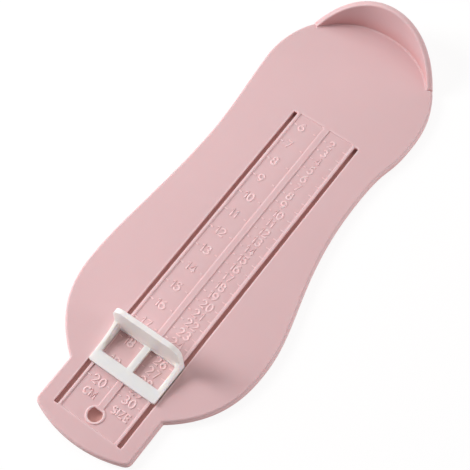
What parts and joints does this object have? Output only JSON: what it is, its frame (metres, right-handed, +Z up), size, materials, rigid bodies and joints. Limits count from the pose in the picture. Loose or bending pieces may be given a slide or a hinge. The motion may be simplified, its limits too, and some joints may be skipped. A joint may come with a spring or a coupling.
{
  "type": "foot measuring device",
  "caption": "Shallow sole-shaped plate with a raised heel stop, a raised centimetre scale between slots, and a toe stop that slides along it to read a child's foot length.",
  "frame": {"origin": "middle of the footprint's box, on the surface the plate stands on", "axes": "+Y from heel to toe, +X towards the centimetre figures, +Z up"},
  "size_m": [0.0874, 0.2278, 0.0223],
  "materials": {
    "pink_plastic": "satin moulded ABS in dusty pink",
    "white_plastic": "satin moulded ABS in warm white"
  },
  "bodies": {
    "plate": {"foot_plate": "pink_plastic"},
    "slider": {"toe_stop_slider": "white_plastic", "slider_keeper": "white_plastic"}
  },
  "joints": [
    {"name": "toe_stop_slide", "type": "slide", "parent": "plate", "child": "slider", "axis": [0, 1, 0], "range_m": [-0.1203, 0.0241]}
  ]
}
